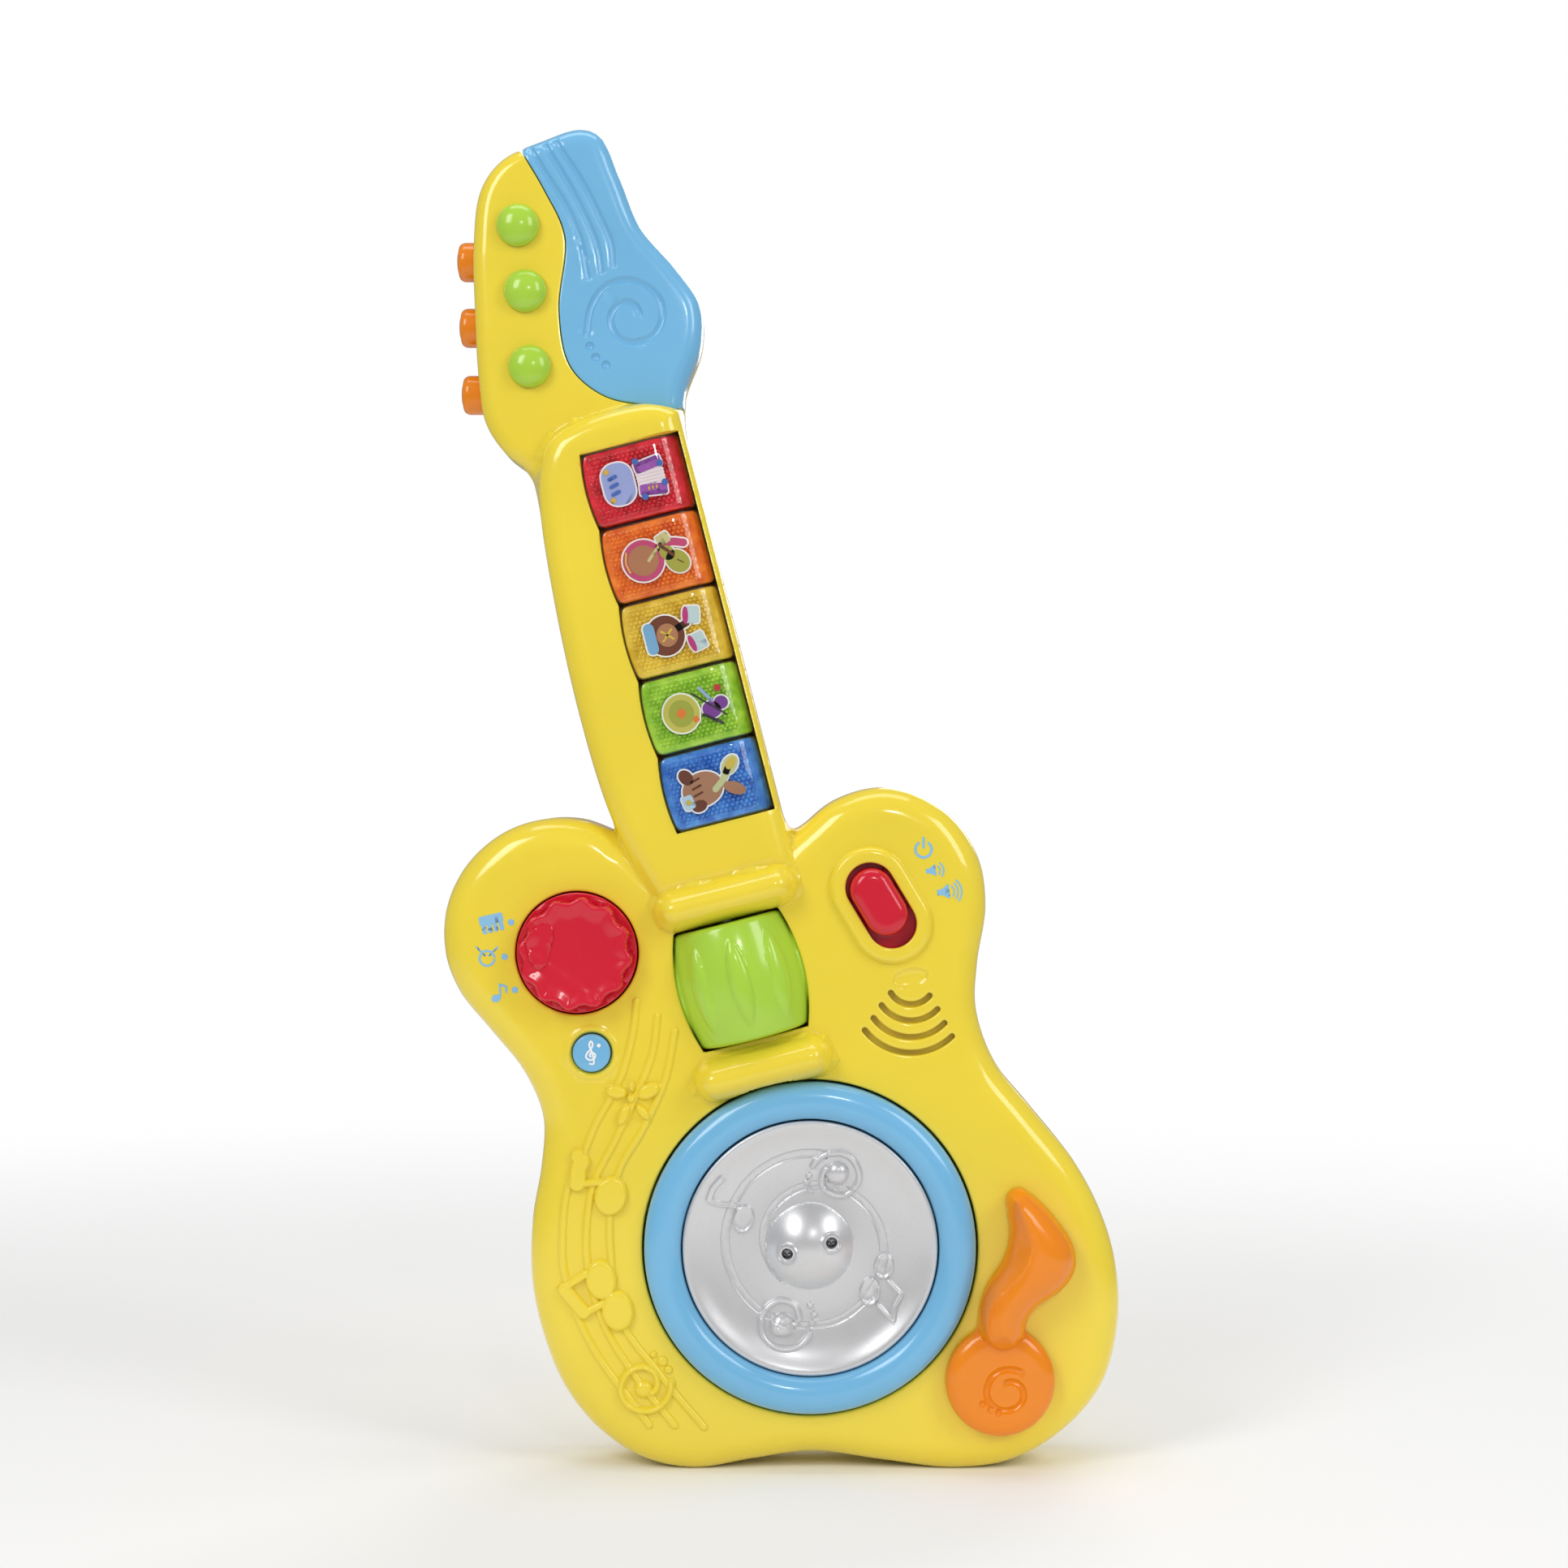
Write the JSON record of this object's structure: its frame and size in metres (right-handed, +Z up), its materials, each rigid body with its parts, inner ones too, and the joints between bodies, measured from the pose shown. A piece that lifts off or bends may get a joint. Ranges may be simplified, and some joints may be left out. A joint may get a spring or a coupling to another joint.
{
  "type": "toy electric guitar",
  "caption": "Toy guitar with lit neck keys, finger roller, turntable, mode knob, power slider, song button and a note-shaped rocking lever, standing on its two body lobes.",
  "frame": {"origin": "centre of the bounding box in plan, on the surface the two body lobes stand on", "axes": "+Z up the standing guitar, -Y out of its face, +X to the right as the face is seen"},
  "size_m": [0.2092, 0.05, 0.415],
  "materials": {
    "yellow_plastic": "high gloss",
    "blue_plastic": "high gloss",
    "red_plastic": "high gloss",
    "orange_plastic": "high gloss",
    "green_plastic": "high gloss",
    "silver_paint": "metallic silver paint",
    "key_red_clear": "clear tinted",
    "key_orange_clear": "clear tinted",
    "key_amber_clear": "clear tinted",
    "key_green_clear": "clear tinted",
    "key_blue_clear": "clear tinted",
    "lamp_lens": "frosted",
    "white_plastic": "satin",
    "black_plastic": "satin",
    "green_board": "solder mask",
    "grey_rubber": "matte",
    "copper_leaf": "bright",
    "steel": "bright",
    "nickel": "bright",
    "cell_case": "printed sleeve"
  },
  "bodies": {
    "case": {"front_shell": "yellow_plastic", "back_shell": "yellow_plastic", "battery_door": "yellow_plastic", "head_cover": "blue_plastic", "key_membrane": "grey_rubber", "song_contact": "grey_rubber", "key_board": "green_board", "main_board": "green_board", "switch_board": "green_board", "mode_switch": "black_plastic", "slide_switch": "black_plastic", "speaker": "black_plastic", "turntable_switch": "copper_leaf", "roller_switch": "copper_leaf", "roller_axle": "steel", "lever_spring": "steel", "battery_contacts_left": "nickel", "battery_contacts_right": "nickel", "door_screw": "steel", "tuner_dome_1": "green_plastic", "tuner_peg_1": "orange_plastic", "battery_1": "cell_case", "tuner_dome_2": "green_plastic", "tuner_peg_2": "orange_plastic", "battery_2": "cell_case", "tuner_dome_3": "green_plastic", "tuner_peg_3": "orange_plastic", "battery_3": "cell_case", "key_lamp_1": "lamp_lens", "key_lamp_2": "lamp_lens", "key_lamp_3": "lamp_lens", "key_lamp_4": "lamp_lens", "key_lamp_5": "lamp_lens", "case_screw_horn_left": "steel", "case_screw_horn_right": "steel", "case_screw_waist_left": "steel", "case_screw_waist_right": "steel", "case_screw_lobe_left": "steel", "case_screw_lobe_right": "steel", "case_screw_neck": "steel", "case_screw_head": "steel", "cover_screw": "steel"},
    "turntable": {"turntable_ring": "blue_plastic", "turntable_disc": "silver_paint", "turntable_spindle": "white_plastic", "turntable_cam": "white_plastic", "disc_screw_1": "steel", "disc_screw_2": "steel", "spindle_screw": "steel"},
    "roller": {"roller": "green_plastic"},
    "mode_knob": {"mode_knob": "red_plastic"},
    "power_slider": {"power_slider": "red_plastic"},
    "song_button": {"song_button": "blue_plastic"},
    "note_lever": {"note_lever": "orange_plastic", "lever_screw": "steel"},
    "key_red": {"key_red": "key_red_clear"},
    "key_orange": {"key_orange": "key_orange_clear"},
    "key_amber": {"key_amber": "key_amber_clear"},
    "key_green": {"key_green": "key_green_clear"},
    "key_blue": {"key_blue": "key_blue_clear"}
  },
  "joints": [
    {"name": "turntable_spin", "type": "hinge", "parent": "case", "child": "turntable", "pos_m": [0.0088, -0.011, 0.069], "axis": [0, -1, 0], "continuous": true},
    {"name": "roller_spin", "type": "hinge", "parent": "case", "child": "roller", "pos_m": [-0.01247, -0.001, 0.15118], "axis": [-0.2487, 0, 0.9686], "continuous": true},
    {"name": "mode_turn", "type": "hinge", "parent": "case", "child": "mode_knob", "pos_m": [-0.0629, -0.011, 0.1596], "axis": [0, -1, 0], "range_deg": [-28, 28]},
    {"name": "power_slide", "type": "slide", "parent": "case", "child": "power_slider", "axis": [0.515, 0, -0.8572], "range_m": [0, 0.004]},
    {"name": "song_press", "type": "slide", "parent": "case", "child": "song_button", "axis": [0, 1, 0], "range_m": [0, 0.0015], "stiffness_N_per_m": 400},
    {"name": "key_red_press", "type": "slide", "parent": "case", "child": "key_red", "axis": [0, 1, 0], "range_m": [0, 0.002], "stiffness_N_per_m": 400},
    {"name": "key_orange_press", "type": "slide", "parent": "case", "child": "key_orange", "axis": [0, 1, 0], "range_m": [0, 0.002], "stiffness_N_per_m": 400},
    {"name": "key_amber_press", "type": "slide", "parent": "case", "child": "key_amber", "axis": [0, 1, 0], "range_m": [0, 0.002], "stiffness_N_per_m": 400},
    {"name": "key_green_press", "type": "slide", "parent": "case", "child": "key_green", "axis": [0, 1, 0], "range_m": [0, 0.002], "stiffness_N_per_m": 400},
    {"name": "key_blue_press", "type": "slide", "parent": "case", "child": "key_blue", "axis": [0, 1, 0], "range_m": [0, 0.002], "stiffness_N_per_m": 400},
    {"name": "lever_rock", "type": "hinge", "parent": "case", "child": "note_lever", "pos_m": [0.067, -0.015, 0.0286], "axis": [0, -1, 0], "range_deg": [-8, 8], "stiffness_Nm_per_rad": 0.25}
  ]
}
